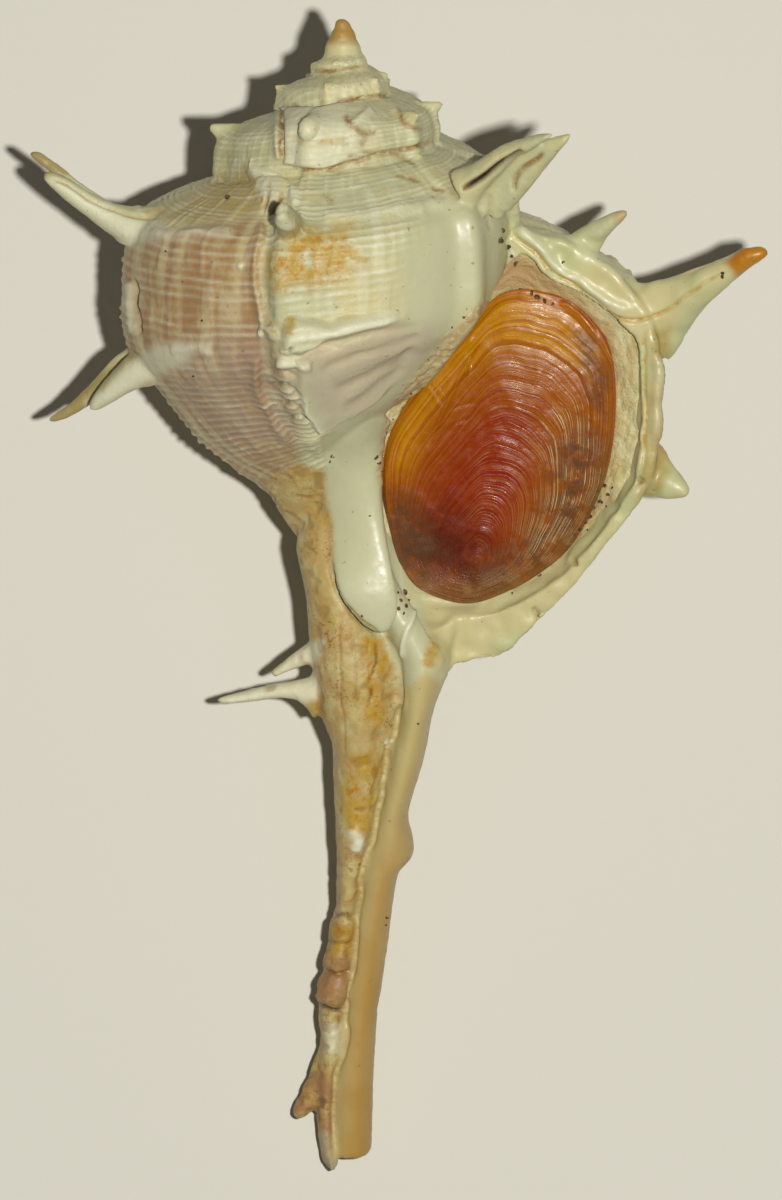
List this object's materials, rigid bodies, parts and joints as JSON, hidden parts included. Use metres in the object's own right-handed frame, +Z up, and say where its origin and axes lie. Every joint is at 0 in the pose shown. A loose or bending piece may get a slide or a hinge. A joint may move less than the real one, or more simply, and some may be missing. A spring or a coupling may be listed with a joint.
{
  "type": "murex shell",
  "caption": "Spiny murex sea shell lying mouth up, with a long broken canal and the dried foot and operculum still in its mouth.",
  "frame": {"origin": "centre of the shell's outline, on the floor it rests on", "axes": "+Y towards the apex, -Y towards the tip of the canal, +X towards the outer lip, +Z up out of the mouth"},
  "size_m": [0.054, 0.085, 0.0383],
  "materials": {
    "shell": "satin",
    "dried_foot": "matte",
    "operculum": "gloss"
  },
  "bodies": {
    "root": {"shell": "shell", "dried_foot": "dried_foot", "operculum": "operculum"}
  },
  "joints": []
}
